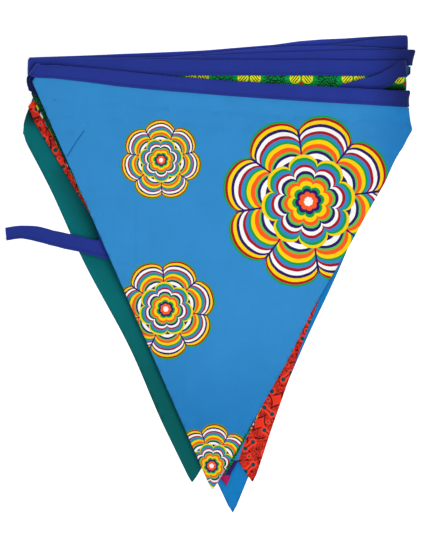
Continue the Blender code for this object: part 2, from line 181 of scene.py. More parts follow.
def drawn_to_point(points):
    """The flag's blunt end narrowed to the point that turning leaves."""
    height = (points[:, 1] - points[:, 1].min()) / MM
    middle = points[height < TIP_END_MM, 0].mean()
    share = np.clip(1.0 - height / TIP_REACH_MM, 0.0, 1.0)
    points[:, 0] += (middle - points[:, 0]) * TIP_NARROWING * share


def placed(name, data):
    """A new object in the scene."""
    obj = bpy.data.objects.new(name, data)
    bpy.context.collection.objects.link(obj)
    return obj


def sewn_flag(name, node, cell_mm, pulls, creases=()):
    """A soft flag over the folds of its solid, with its distance from the hems in an attribute."""
    bm, hems = cut_fine(node, cell_mm, creases)
    points = eased(bm)
    normals = np.array([vert.normal[:] for vert in bm.verts])
    points -= normals * PRESSED_MM * MM
    points[:, 2] += laid_over_surface(points)
    hem_distance = off_lines(points, hems)
    for crease in creases:
        away = off_lines(points, np.array([crease]) * MM)
        points[:, 2] -= np.clip(1.0 - away / TROUGH_MM, 0.0, 1.0) * TROUGH_DEEP_MM * MM
    drawn_to_point(points)
    pulled(points, pulls)
    for vert, point in zip(bm.verts, points):
        vert.co = point
    mesh = bpy.data.meshes.new(name)
    bm.to_mesh(mesh)
    bm.free()
    hem = mesh.attributes.new("from_hem", "FLOAT", "POINT")
    hem.data.foreach_set("value", hem_distance.astype(np.float32))
    mesh.shade_smooth()
    mesh.set_sharp_from_angle(angle=SHARP_TURN)
    return placed(name, mesh)


def dye(red, green, blue):
    """A colour given as it looks, 0 to 255, as the linear one that a shader takes."""
    linear = []
    for part in (red / 255, green / 255, blue / 255):
        linear.append(part / 12.92 if part <= 0.04045 else ((part + 0.055) / 1.055) ** 2.4)
    return (*linear, 1.0)


class Nodes:
    """Short ways to add nodes to one tree."""

    def __init__(self, tree):
        self.tree = tree

    def join(self, socket, value):
        if isinstance(value, bpy.types.NodeSocket):
            self.tree.links.new(value, socket)
        else:
            socket.default_value = value

    def add(self, kind, inputs=None, **settings):
        node = self.tree.nodes.new(kind)
        for name, value in settings.items():
            setattr(node, name, value)
        for name, value in (inputs or {}).items():
            self.join(node.inputs[name], value)
        return node

    def math(self, operation, *values, clamp=False):
        node = self.add("ShaderNodeMath", operation=operation, use_clamp=clamp)
        for socket, value in zip(node.inputs, values):
            self.join(socket, value)
        return node.outputs[0]

    def vector(self, operation, *values):
        node = self.add("ShaderNodeVectorMath", operation=operation)
        for socket, value in zip(node.inputs, values):
            self.join(socket, value)
        return node.outputs["Value" if operation in ("LENGTH", "DOT_PRODUCT") else "Vector"]

    def scaled(self, vector, factor):
        values = {"Vector": vector, "Scale": factor}
        return self.add("ShaderNodeVectorMath", values, operation="SCALE").outputs["Vector"]

    def mix(self, factor, a, b, blend="MIX"):
        node = self.add("ShaderNodeMix", data_type="RGBA", blend_type=blend)
        for socket, value in ((node.inputs[0], factor), (node.inputs[6], a), (node.inputs[7], b)):
            self.join(socket, value)
        return node.outputs[2]

    def ease(self, value, low, high):
        """0 up to low, 1 from high, smooth between; low may be the higher one."""
        node = self.add("ShaderNodeMapRange", {"Value": value, "From Min": low, "From Max": high},
                        interpolation_type="SMOOTHSTEP")
        return node.outputs["Result"]

    def noise(self, vector, scale, detail, gives="Fac"):
        values = {"Vector": vector, "Scale": scale, "Detail": detail}
        return self.add("ShaderNodeTexNoise", values).outputs[gives]

    def apart(self, vector):
        return self.add("ShaderNodeSeparateXYZ", {"Vector": vector}).outputs


def group_tree(name, takes, gives):
    """A shader node group with named inputs and outputs."""
    tree = bpy.data.node_groups.new(name, "ShaderNodeTree")
    for label, kind in takes:
        tree.interface.new_socket(label, in_out="INPUT", socket_type=kind)
    for label, kind in gives:
        tree.interface.new_socket(label, in_out="OUTPUT", socket_type=kind)
    n = Nodes(tree)
    return tree, n, n.add("NodeGroupInput").outputs, n.add("NodeGroupOutput").inputs


YARN_SCALES = (1500.0, 60.0)
YARN_DETAIL = 3.0
CLOUD_SCALE = 60.0


def cotton_weave():
    """Plain-woven cotton: thread bumps, uneven yarns both ways and slow changes of shade."""
    tree, n, takes, gives = group_tree(
        "cotton_weave",
        [("Vector", "NodeSocketVector"), ("Thread", "NodeSocketFloat"),
         ("Unevenness", "NodeSocketFloat")],
        [("Shade", "NodeSocketFloat"), ("Height", "NodeSocketFloat")])
    x, y, _ = n.apart(takes["Vector"])
    turn = n.math("DIVIDE", math.pi, takes["Thread"])
    over = n.math("SINE", n.math("MULTIPLY", x, turn))
    under = n.math("SINE", n.math("MULTIPLY", y, turn))
    height = n.math("MULTIPLY_ADD", n.math("MULTIPLY", over, under), 0.5, 0.5)
    yarns = []
    for scale_x, scale_y in (YARN_SCALES, YARN_SCALES[::-1]):
        stretched = n.vector("MULTIPLY", takes["Vector"], (scale_x, scale_y, 1.0))
        yarns.append(n.math("SUBTRACT", n.noise(stretched, 1.0, YARN_DETAIL), 0.5))
    clouds = n.math("SUBTRACT", n.noise(takes["Vector"], CLOUD_SCALE, YARN_DETAIL), 0.5)
    uneven = n.math("MULTIPLY_ADD", n.math("ADD", yarns[0], yarns[1]), 0.5, clouds)
    n.join(gives["Shade"], n.math("MULTIPLY_ADD", uneven, takes["Unevenness"], 1.0))
    n.join(gives["Height"], n.math("MULTIPLY_ADD", yarns[0], 0.5, height))
    return tree


weave_group = cotton_weave()


def place_mm(n):
    """Plan position on the bunting, in millimetres."""
    place = n.add("ShaderNodeTexCoord").outputs["Object"]
    return n.vector("MULTIPLY", place, (1 / MM, 1 / MM, 0.0))


def from_line(n, spot, start, end):
    """Distance of a place from a straight stretch, in millimetres."""
    along = Vector((end[0] - start[0], end[1] - start[1], 0.0))
    offset = n.vector("SUBTRACT", spot, (start[0], start[1], 0.0))
    covered = n.vector("DOT_PRODUCT", offset, along[:])
    share = n.math("DIVIDE", covered, along.length_squared, clamp=True)
    return n.vector("LENGTH", n.vector("SUBTRACT", offset, n.scaled(along[:], share)))


def with_painted_shade(n, spot, colour, places):
    """A colour made darker with painted shade along some lines, where the cloth turns away under
    other layers.
    """
    for start, end, reach, depth in places:
        near = n.ease(from_line(n, spot, start, end), reach, 0.0)
        light = n.math("MULTIPLY_ADD", near, -depth, 1.0)
        colour = n.mix(1.0, colour, light, "MULTIPLY")
    return colour


def dimmed(n, shade, mask, depth):
    """A shade made darker by a depth where a mask is 1."""
    return n.math("MULTIPLY", shade, n.math("MULTIPLY_ADD", mask, -depth, 1.0))


def new_material(name):
    """A material, the short ways to add nodes to it, and its shader."""
    material = bpy.data.materials.new(name)
    material.use_nodes = True
    return material, Nodes(material.node_tree), material.node_tree.nodes["Principled BSDF"]


def woven(n, place, unevenness):
    """Shade and height of the weave at a place on the cloth."""
    values = {"Vector": place, "Thread": THREAD_MM * MM, "Unevenness": unevenness}
    return n.add("ShaderNodeGroup", values, node_tree=weave_group).outputs


def raised(n, shader, height, strength):
    """Relief, its height in millimetres, as bump."""
    bump = n.add("ShaderNodeBump", {"Height": height, "Strength": strength, "Distance": MM})
    n.join(shader.inputs["Normal"], bump.outputs["Normal"])


def dull(shader, roughness, specular):
    """The finish of cotton, with next to no shine and a trace of sheen."""
    shader.inputs["Roughness"].default_value = roughness
    shader.inputs["Specular IOR Level"].default_value = specular
    shader.inputs["Sheen Weight"].default_value = SHEEN


THREAD_MM = 0.42
COTTON_UNEVENNESS = 0.16
WEAVE_RELIEF = 0.06
ALLOWANCE_MM = 5.5
ALLOWANCE_STEP_MM = 0.5
ALLOWANCE_RELIEF = 0.22
ROLLED_MM = 0.9
ROLLED_PAINTED_SHADE = 0.9
CREASE_RELIEF = 0.5
CREASE_PAINTED_SHADE = 0.3
COTTON_BUMP = 0.6
COTTON_FINISH = (0.88, 0.12)
SHEEN = 0.03


def cotton_material(name, print_colour, pressed=None):
    """Cotton cloth. print_colour(n, spot) gives its colour, pressed(n, spot) creases, 0 to 1.
    Painted shade darkens the creases and the rolled edges of the hems.
    """
    material, n, shader = new_material(name)
    spot = place_mm(n)
    cloth = woven(n, n.add("ShaderNodeTexCoord").outputs["Object"], COTTON_UNEVENNESS)
    hem = n.add("ShaderNodeAttribute", attribute_name="from_hem").outputs["Fac"]
    allowance = n.ease(hem, ALLOWANCE_MM + ALLOWANCE_STEP_MM, ALLOWANCE_MM - ALLOWANCE_STEP_MM)
    height = n.math("MULTIPLY_ADD", cloth["Height"], WEAVE_RELIEF,
                    n.math("MULTIPLY", allowance, ALLOWANCE_RELIEF))
    # Painted shade darkens the cloth along the rolled edges of its hems.
    rolled_painted_shade = n.math("MULTIPLY_ADD", n.ease(hem, 0.0, ROLLED_MM), 0.1, ROLLED_PAINTED_SHADE)
    shade = n.math("MULTIPLY", cloth["Shade"], rolled_painted_shade)
    if pressed:
        crease = pressed(n, spot)
        # The crease is sunk as bump, and darkened with painted shade.
        height = n.math("MULTIPLY_ADD", crease, -CREASE_RELIEF, height)
        shade = dimmed(n, shade, crease, CREASE_PAINTED_SHADE)
    colour = print_colour(n, spot)
    n.join(shader.inputs["Base Color"], n.mix(1.0, colour, shade, "MULTIPLY"))
    raised(n, shader, height, COTTON_BUMP)
    dull(shader, *COTTON_FINISH)
    return material


TEAL = dye(2, 95, 95)
# The teal turns lighter towards the top, over the heights in mm that follow.
UPPER_TEAL = dye(1, 109, 113)
UPPER_TEAL_MM = (-80.0, -10.0)
# Painted shade: a dark patch at the turned-under left top corner, and a painted shadow along the
# front flag's left edge.
TEAL_PAINTED_SHADES = [
    # from and to, x and y mm; reach mm; depth
    ((-114.0, 103.0), (-113.0, 100.0), 10.0, 0.75),
    ((-92.8, 63.0), (-72.0, 26.0), 12.0, 0.28),
]


def teal_dye(n, spot):
    _, y, _ = n.apart(spot)
    return with_painted_shade(n, spot, n.mix(n.ease(y, *UPPER_TEAL_MM), TEAL, UPPER_TEAL), TEAL_PAINTED_SHADES)


BACK_PULLS = [
    # x mm, y mm, reach mm, move in x and y mm
    (-119.0, 88.9, 7.0, 1.1, 0.2),
    (-116.2, 99.9, 12.0, -0.7, 0.0),
    (-102.3, 54.4, 45.0, 1.2, 0.0),
    (-51.8, -44.7, 60.0, 2.6, 0.0),
]
back_flag = sewn_flag("back_flag", "flag_6_teal", CELL_MM, BACK_PULLS)
back_flag.data.materials.append(cotton_material("teal_cotton", teal_dye))
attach(back_flag, "root")
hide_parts("flag_6_teal")

# Second flag from the back, plain blue
# The same double cotton triangle in a clear light blue. Its length of binding sags, so its tip
# hangs lower than the others and shows whole.
CLEAR_BLUE = dye(20, 127, 198)
BLUE_PULLS = [
    # x mm, y mm, reach mm, move in x and y mm
    (81.3, 7.7, 80.0, 3.0, 0.0),
    (50.0, -62.0, 40.0, 0.5, 0.0),
]


def blue_dye(n, spot):
    return CLEAR_BLUE


blue_flag = sewn_flag("blue_flag", "flag_5_blue", CELL_MM, BLUE_PULLS)
blue_flag.data.materials.append(cotton_material("blue_cotton", blue_dye))
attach(blue_flag, "root")
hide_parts("flag_5_blue")

# Third flag from the back, red print
# Wax-printed cotton: overlapping circles on red, their lens shapes filled with fine maroon
# squiggles, and pairs of teal dots with bright rims. Its left top corner is turned under.
RED = dye(244, 56, 34)
MAROON = dye(104, 22, 24)
BRIGHT_RED = dye(255, 62, 36)
INK = dye(36, 12, 20)
DOT_TEAL = dye(0, 76, 82)
MAROON_COVER = 0.85
INK_COVER = 0.9
RED_DRAWN_MM = (9.0, 0.8)
DIAMOND_STEP_MM = 12.9
DIAMONDS_TURN = math.radians(-7.8)
DIAMONDS_MOVE_MM = (14.1, 0.5, 0.0)
ARC_REACH = 0.745
ARC_EDGES = (0.04, 0.022)
BREAK_SCALE = 0.35
BREAK_EDGES = (0.42, 0.46)
SQUIGGLE_EDGES = (0.09, 0.045)
DOT_STEP_MM = (12.0, 14.5)
DOTS_MOVE_MM = (5.3, -0.7, 0.0)
DOT_ARM_MM = (2.45, 2.1)
DOT_EDGES_MM = (1.5, 1.25)
LONE_SMALLER_MM = 0.65
HALO_EDGES_MM = (2.6, 2.3)
HALO_AT_BAR_MM = 0.6
HALO_AT_LONE_MM = 0.8
BAR_EDGES_MM = (0.4, 0.2)


def repeats(n, value, step):
    """Place within a repeat, from minus half a step to half a step."""
    share = n.math("FRACT", n.math("DIVIDE", value, step))
    return n.math("MULTIPLY", n.math("SUBTRACT", share, 0.5), step)


def odd_repeats(n, value, step):
    """1 in every second repeat and 0 between them."""
    count = n.math("FLOOR", n.math("DIVIDE", value, step))
    return n.math("MODULO", n.math("ABSOLUTE", count), 2.0)


def hand_drawn(n, spot, size_mm, reach_mm):
    """The place moved a little, so that printed shapes look cut by hand."""
    away = n.vector("SUBTRACT", n.noise(spot, 1.0 / size_mm, 1.0, "Color"), (0.5, 0.5, 0.5))
    return n.vector("ADD", spot, n.scaled(away, 2.0 * reach_mm))


def near_circles(n, x, y, step):
    """Distance, in steps, from the nearest neighbour's centre of a square lattice of circles."""
    u = n.math("ABSOLUTE", n.math("DIVIDE", repeats(n, x, step), step))
    v = n.math("ABSOLUTE", n.math("DIVIDE", repeats(n, y, step), step))
    to_u, to_v = n.math("SUBTRACT", 1.0, u), n.math("SUBTRACT", 1.0, v)
    beside = n.math("ADD", n.math("POWER", to_u, 2.0), n.math("POWER", v, 2.0))
    above = n.math("ADD", n.math("POWER", u, 2.0), n.math("POWER", to_v, 2.0))
    return n.math("SQRT", n.math("MINIMUM", beside, above))


def length_of(n, x, y):
    """Distance of a place from the middle of its pattern."""
    return n.math("SQRT", n.math("ADD", n.math("MULTIPLY", x, x), n.math("MULTIPLY", y, y)))


def dot_pairs(n, spot):
    """Distances from the nearest pair's bar, from its dots and from the nearest lone dot."""
    x, y, _ = n.apart(spot)
    odd = odd_repeats(n, x, DOT_STEP_MM[0])
    lx = repeats(n, x, DOT_STEP_MM[0])
    ly = repeats(n, n.math("MULTIPLY_ADD", odd, DOT_STEP_MM[1] / 2, y), DOT_STEP_MM[1])
    ly = n.math("MULTIPLY", ly, n.math("MULTIPLY_ADD", odd, -2.0, 1.0))
    arm_x, arm_y = DOT_ARM_MM
    along = n.math("ADD", n.math("MULTIPLY", lx, arm_x), n.math("MULTIPLY", ly, arm_y))
    share = n.math("DIVIDE", along, arm_x ** 2 + arm_y ** 2)
    held = n.math("MAXIMUM", n.math("MINIMUM", share, 1.0), -1.0)
    reaches = []
    for factor in (held, n.math("SIGN", share)):
        dx = n.math("SUBTRACT", lx, n.math("MULTIPLY", factor, arm_x))
        dy = n.math("SUBTRACT", ly, n.math("MULTIPLY", factor, arm_y))
        reaches.append(length_of(n, dx, dy))
    lone = length_of(n, lx, n.math("SUBTRACT", DOT_STEP_MM[1] / 2, n.math("ABSOLUTE", ly)))
    return reaches[0], reaches[1], lone


def red_print(n, spot):
    drawn = hand_drawn(n, spot, *RED_DRAWN_MM)
    turned = n.add("ShaderNodeMapping", {"Vector": drawn, "Location": DIAMONDS_MOVE_MM,
                                         "Rotation": (0.0, 0.0, DIAMONDS_TURN)}).outputs["Vector"]
    x, y, _ = n.apart(turned)
    reach = near_circles(n, x, y, DIAMOND_STEP_MM)
    cells = [n.math("FLOOR", n.math("DIVIDE", value, DIAMOND_STEP_MM)) for value in (x, y)]
    filled = n.math("FLOORED_MODULO", n.math("ADD", *cells), 2.0)
    unfilled = n.math("SUBTRACT", 1.0, filled)
    bright = n.math("MULTIPLY", n.math("GREATER_THAN", reach, ARC_REACH), unfilled)
    arc = n.ease(n.math("ABSOLUTE", n.math("SUBTRACT", reach, ARC_REACH)), *ARC_EDGES)
    broken = n.ease(n.noise(spot, BREAK_SCALE, 0.0), *BREAK_EDGES)
    arc = n.math("MULTIPLY", arc, n.math("MAXIMUM", unfilled, broken))
    squiggle = n.math("ABSOLUTE", n.math("SUBTRACT", n.noise(spot, 1.0, 1.0), 0.5))
    squiggle = n.ease(squiggle, *SQUIGGLE_EDGES)
    maroon = n.math("MULTIPLY", squiggle, n.math("SUBTRACT", 1.0, bright))
    colour = n.mix(n.math("MULTIPLY", maroon, MAROON_COVER), RED, MAROON)
    colour = n.mix(n.math("MULTIPLY", arc, INK_COVER), colour, INK)
    loose = n.vector("ADD", n.scaled(spot, 0.5), n.scaled(drawn, 0.5))
    bar, dot, lone = dot_pairs(n, n.vector("ADD", loose, DOTS_MOVE_MM))
    round_dots = n.math("MINIMUM", dot, n.math("ADD", lone, HALO_AT_LONE_MM))
    halo = n.math("MINIMUM", n.math("ADD", bar, HALO_AT_BAR_MM), round_dots)
    colour = n.mix(n.ease(halo, *HALO_EDGES_MM), colour, BRIGHT_RED)
    colour = n.mix(n.ease(bar, *BAR_EDGES_MM), colour, INK)
    teal = n.math("MINIMUM", dot, n.math("ADD", lone, LONE_SMALLER_MM))
    return n.mix(n.ease(teal, *DOT_EDGES_MM), colour, DOT_TEAL)


RED_PULLS = [
    # x mm, y mm, reach mm, move in x and y mm
    (-115.2, 103.4, 9.0, 0.5, 2.2),
    (55.3, -54.1, 40.0, -0.8, 0.0),
    (43.0, -90.0, 40.0, -0.8, 0.0),
]
red_flag = sewn_flag("red_flag", "flag_4_red", CELL_MM, RED_PULLS)
red_flag.data.materials.append(cotton_material("red_printed_cotton", red_print))
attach(red_flag, "root")
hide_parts("flag_4_red")

# Third flag from the front, flower print
# Printed cotton with large layered flowers on blue, and a purple and a magenta end at its tip. Only
# slivers of it show beside the flags in front of it.
GROUND_BLUE = dye(50, 138, 202)
WHITE = dye(250, 250, 248)
NAVY = dye(42, 24, 104)
DARK_RED = dye(172, 20, 34)
GREEN = dye(14, 160, 70)
LIGHT_GREEN = dye(96, 196, 78)
YELLOW = dye(255, 212, 8)
ORANGE = dye(255, 92, 32)
PURPLE = dye(46, 28, 110)
MAGENTA = dye(182, 26, 92)
PETAL_RINGS = [
    # from, share of the way out to the petals' tips; colour
    (0.00, NAVY), (0.50, WHITE), (0.555, NAVY), (0.59, LIGHT_GREEN), (0.62, ORANGE), (0.67, YELLOW),
    (0.715, GREEN), (0.745, GROUND_BLUE), (0.785, DARK_RED), (0.82, WHITE), (0.865, NAVY),
    (0.90, YELLOW), (0.945, DARK_RED), (0.975, GREEN),
]
HEART_RINGS = [
    # from, share of the way out to the heart's rim; colour
    (0.00, WHITE), (0.10, ORANGE), (0.20, NAVY), (0.28, GREEN), (0.34, YELLOW), (0.44, ORANGE),
    (0.52, LIGHT_GREEN), (0.58, NAVY), (0.65, WHITE), (0.73, DARK_RED), (0.79, GROUND_BLUE),
    (0.87, GREEN), (0.93, YELLOW),
]
HEART_SHARE = 0.54
PETAL_DEPTH = 0.2
HEART_DEPTH = 0.22
PARTING_SHARE = 0.07
FLOWERS_DRAWN_MM = (7.0, 0.35)


def rings(n, share, colours):
    """Hard-edged rings, each colour from its own share of the way out on."""
    node = n.add("ShaderNodeValToRGB", {"Fac": share})
    node.color_ramp.interpolation = "CONSTANT"
    elements = node.color_ramp.elements
    elements[0].position, elements[0].color = colours[0]
    elements.remove(elements[1])
    for place, colour in colours[1:]:
        elements.new(place).color = colour
    return node.outputs["Color"]


def layered_flower():
    """One printed flower: scalloped rings of petals round a heart with petals between theirs."""
    tree, n, takes, gives = group_tree(
        "layered_flower",
        [("Vector", "NodeSocketVector"), ("Centre", "NodeSocketVector"),
         ("Radius", "NodeSocketFloat"), ("Petals", "NodeSocketFloat"),
         ("Turn", "NodeSocketFloat")],
        [("Color", "NodeSocketColor"), ("Mask", "NodeSocketFloat")])
    x, y, _ = n.apart(n.vector("SUBTRACT", takes["Vector"], takes["Centre"]))
    out = n.math("DIVIDE", length_of(n, x, y), takes["Radius"])
    angle = n.math("ADD", n.math("ARCTAN2", y, x), takes["Turn"])
    half = n.math("MULTIPLY", n.math("MULTIPLY", angle, takes["Petals"]), 0.5)
    shares = []
    for wave, depth, reach in (("COSINE", PETAL_DEPTH, 1.0), ("SINE", HEART_DEPTH, HEART_SHARE)):
        tip = n.math("SQRT", n.math("ABSOLUTE", n.math(wave, half)))
        rim = n.math("MULTIPLY_ADD", tip, depth * reach, (1.0 - depth) * reach)
        shares.append(n.math("DIVIDE", out, rim))
    petals, heart = shares
    between = n.math("ABSOLUTE", n.math("COSINE", half))
    colour = rings(n, petals, PETAL_RINGS)
    colour = n.mix(n.math("LESS_THAN", between, PARTING_SHARE), colour, NAVY)
    colour = n.mix(n.math("LESS_THAN", heart, 1.0), colour, rings(n, heart, HEART_RINGS))
    n.join(gives["Color"], colour)
    n.join(gives["Mask"], n.math("LESS_THAN", petals, 1.0))
    return tree


flower_group = layered_flower()


def with_flowers(n, spot, colour, flowers):
    """Print flowers on a colour, in the order of their table."""
    drawn = hand_drawn(n, spot, *FLOWERS_DRAWN_MM)
    for x, y, radius, petals, turn in flowers:
        values = {"Vector": drawn, "Centre": (x, y, 0.0), "Radius": radius, "Petals": petals,
                  "Turn": turn}
        flower = n.add("ShaderNodeGroup", values, node_tree=flower_group)
        colour = n.mix(flower.outputs["Mask"], colour, flower.outputs["Color"])
    return colour


TIP_FLOWERS = [
    # x mm, y mm, radius mm, petals, turn
    (-70.0, 66.0, 62.0, 8, 0.2),
    (58.0, 60.0, 50.0, 8, 0.0),
    (46.0, -78.0, 30.0, 7, 0.5),
]
# Painted shade darkens this flag's right top corner.
CORNER_PAINTED_SHADES = [
    # from and to, x and y mm; reach mm; depth
    ((127.2, 130.6), (126.4, 126.6), 4.5, 0.97),
]
PURPLE_FROM_MM = -117.5
MAGENTA_FROM_MM = -127.0


def tip_print(n, spot):
    colour = with_flowers(n, spot, GROUND_BLUE, TIP_FLOWERS)
    _, y, _ = n.apart(spot)
    colour = n.mix(n.math("LESS_THAN", y, PURPLE_FROM_MM), colour, PURPLE)
    colour = n.mix(n.math("LESS_THAN", y, MAGENTA_FROM_MM), colour, MAGENTA)
    return with_painted_shade(n, spot, colour, CORNER_PAINTED_SHADES)


INNER_PULLS = [
    # x mm, y mm, reach mm, move in x and y mm
    (-107.3, 102.4, 16.0, -1.0, -0.4),
    (124.8, 127.2, 5.0, 2.2, 0.0),
    (24.0, -106.0, 16.0, -1.3, 0.0),
    (15.5, -126.0, 9.0, -1.3, 0.0),
]
inner_print_flag = sewn_flag("inner_print_flag", "flag_3_print", CELL_MM, INNER_PULLS)
inner_print_flag.data.materials.append(cotton_material("purple_tipped_print", tip_print))
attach(inner_print_flag, "root")
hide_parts("flag_3_print")

# Second flag from the front, green print
# Printed cotton: dark speckle on green, and rows of paired yellow leaves with a red bud between
# them. It shows above the front binding and as a sliver at the left. Painted shade darkens the
# sliver and the right end.
LEAF_GREEN = dye(10, 162, 74)
# The sliver at the left is painted a darker green for the shade beside the front flag's edge.
SLIVER_PAINTED_SHADE_GREEN = dye(14, 92, 66)
DEEP_GREEN = dye(4, 34, 20)
LEAF_YELLOW = dye(248, 248, 36)
BUD_RED = dye(214, 40, 34)
LEAF_STEP_MM = (32.8, 25.0)
LEAF_ROW_MM = (-8.3, -11.0)
LEAF_APART_MM = 3.9
LEAF_RADIUS_MM = 3.5
LEAF_EDGE_MM = 0.2
RIM_RADIUS_MM = 3.1
RIM_EDGES_MM = (0.45, 0.3)
HATCH_SLANT = 0.8
HATCH_STEP_MM = 1.75
HATCH_SHARE = 0.62
BUD_EDGES_MM = (1.2, 1.0)
SPECKLE_SCALE = 1.1
SPECKLE_EDGES = (0.58, 0.64)
DENSER = 0.14
BESIDE_LEAVES_MM = (8.0, 11.5)
SPECKLE_COVER = 0.9
SLIVER_PAINTED_SHADE_COVER = 0.8
SLIVER_AT_MM = (-60.0, -86.0)
# Painted shade darkens the green at its right end, under the layers above it.
GREEN_PAINTED_SHADES = [
    # from and to, x and y mm; reach mm; depth
    ((113.0, 116.5), (121.0, 117.0), 7.0, 0.85),
]


def green_print(n, spot):
    x, y, _ = n.apart(spot)
    at_left = n.ease(x, *SLIVER_AT_MM)
    x = n.math("ADD", x, LEAF_ROW_MM[0])
    y = n.math("ADD", y, LEAF_ROW_MM[1])
    row = odd_repeats(n, y, LEAF_STEP_MM[1])
    lx = repeats(n, n.math("MULTIPLY_ADD", row, LEAF_STEP_MM[0] / 2, x), LEAF_STEP_MM[0])
    ly = repeats(n, y, LEAF_STEP_MM[1])
    between_rows = n.ease(n.math("ABSOLUTE", ly), LEAF_RADIUS_MM, 2 * LEAF_RADIUS_MM)
    beside_leaves = n.ease(n.math("ABSOLUTE", lx), *BESIDE_LEAVES_MM)
    dense = n.math("MULTIPLY", n.math("MAXIMUM", between_rows, beside_leaves), DENSER)
    speckle = n.math("ADD", n.noise(spot, SPECKLE_SCALE, 2.0), dense)
    dark = n.math("MULTIPLY", n.ease(speckle, *SPECKLE_EDGES), SPECKLE_COVER)
    # Painted shade: the darker green over the sliver at the left.
    colour = n.mix(n.math("MULTIPLY", at_left, SLIVER_PAINTED_SHADE_COVER), LEAF_GREEN, SLIVER_PAINTED_SHADE_GREEN)
    colour = n.mix(dark, colour, DEEP_GREEN)
    side = n.math("SUBTRACT", n.math("ABSOLUTE", lx), LEAF_APART_MM)
    round_leaf = length_of(n, side, ly)
    slanted = n.math("ADD", side, n.math("MULTIPLY", ly, HATCH_SLANT))
    stripes = n.math("FRACT", n.math("DIVIDE", slanted, HATCH_STEP_MM))
    hatch = n.math("LESS_THAN", stripes, HATCH_SHARE)
    from_rim = n.math("ABSOLUTE", n.math("SUBTRACT", round_leaf, RIM_RADIUS_MM))
    rim = n.ease(from_rim, *RIM_EDGES_MM)
    in_leaf = n.ease(round_leaf, LEAF_RADIUS_MM, LEAF_RADIUS_MM - LEAF_EDGE_MM)
    yellow = n.math("MULTIPLY", in_leaf, n.math("MAXIMUM", hatch, rim))
    colour = n.mix(in_leaf, colour, DEEP_GREEN)
    colour = n.mix(yellow, colour, LEAF_YELLOW)
    bud = length_of(n, lx, n.math("ADD", ly, RIM_RADIUS_MM))
    colour = n.mix(n.ease(bud, *BUD_EDGES_MM), colour, BUD_RED)
    return with_painted_shade(n, spot, colour, GREEN_PAINTED_SHADES)


GREEN_PULLS = [
    # x mm, y mm, reach mm, move in x and y mm
    (123.2, 120.0, 8.0, 0.9, 0.0),
]
green_flag = sewn_flag("green_flag", "flag_2_green", CELL_MM, GREEN_PULLS)
green_flag.data.materials.append(cotton_material("green_printed_cotton", green_print))
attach(green_flag, "root")
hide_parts("flag_2_green")

# Front flag, flower print
# The flag that shows whole: light blue cotton printed with layered flowers, over a pink backing
# that shows as a hairline beside the tip. A pressed crease crosses its left corner, and its right
# top corner is turned under. Painted shade darkens the crease and deepens the blue towards the
# right and the tip.
FRONT_CELL_MM = 2.5
FRONT_FLOWERS = [
    # x mm, y mm, radius mm, petals, turn
    (62.0, 46.0, 55.0, 8, 0.25),
    (-31.0, 72.0, 26.0, 7, 0.2),
    (-28.0, -22.0, 32.0, 7, 0.6),
    (1.0, -121.0, 27.0, 8, 0.1),
]
CREASE_MM = [
    # x, y of the pressed crease, from the left hem up
    (-90.0, 74.4), (-86.9, 79.7), (-83.4, 85.0), (-79.6, 90.2),
]
CREASE_HALF_WIDTH_MM = 0.6
# Painted shade along the pressed crease, as a darker blue.
CREASE_PAINTED_SHADE_BLUE = dye(20, 112, 196)
CREASE_PAINTED_SHADE_COVER = 0.8
# Painted shade: the ground blue deepens towards the right and towards the tip.
PAINTED_SHADE_BLUE = dye(32, 123, 190)
PAINTED_SHADE_RIGHT_MM = (88.0, 126.0)
PAINTED_SHADE_TIP_MM = (-20.0, -125.0)
BACKING_PINK = dye(214, 140, 198)
BACKING_MM = ((4.7, -133.0), (9.4, -124.6))
BACKING_HALF_WIDTH_MM = 1.1


def corner_crease(n, spot):
    nearest = None
    for start, end in zip(CREASE_MM[:-1], CREASE_MM[1:]):
        distance = from_line(n, spot, start, end)
        nearest = distance if nearest is None else n.math("MINIMUM", nearest, distance)
    return n.ease(nearest, CREASE_HALF_WIDTH_MM, 0.0)


def front_print(n, spot):
    x, y, _ = n.apart(spot)
    # Painted shade, deeper towards the right and the tip.
    painted_shade = n.math("MAXIMUM", n.ease(x, *PAINTED_SHADE_RIGHT_MM), n.ease(y, *PAINTED_SHADE_TIP_MM))
    ground = n.mix(painted_shade, GROUND_BLUE, PAINTED_SHADE_BLUE)
    # Painted shade in the crease.
    crease = n.math("MULTIPLY", corner_crease(n, spot), CREASE_PAINTED_SHADE_COVER)
    ground = n.mix(crease, ground, CREASE_PAINTED_SHADE_BLUE)
    colour = with_flowers(n, spot, ground, FRONT_FLOWERS)
    backing = from_line(n, spot, *BACKING_MM)
    return n.mix(n.math("LESS_THAN", backing, BACKING_HALF_WIDTH_MM), colour, BACKING_PINK)


FRONT_PULLS = [
    # x mm, y mm, reach mm, move in x and y mm
    (120.5, 105.0, 9.0, 0.0, 1.3),
    (126.9, 88.2, 10.0, -0.2, 3.2),
    (118.5, 71.5, 18.0, -1.4, 0.0),
    (126.5, 93.5, 6.0, 0.4, 0.0),
    (127.0, 89.0, 6.0, 0.9, 0.0),
    (69.3, -16.3, 50.0, -2.2, 0.0),
    (95.2, 29.2, 45.0, -1.1, 0.0),
]
front_crease = (CREASE_MM[0], CREASE_MM[-1])
front_flag = sewn_flag("front_flag", "flag_1_print", FRONT_CELL_MM, FRONT_PULLS, [front_crease])
front_cotton = cotton_material("flower_printed_cotton", front_print, corner_crease)
front_flag.data.materials.append(front_cotton)
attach(front_flag, "root")
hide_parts("flag_1_print")

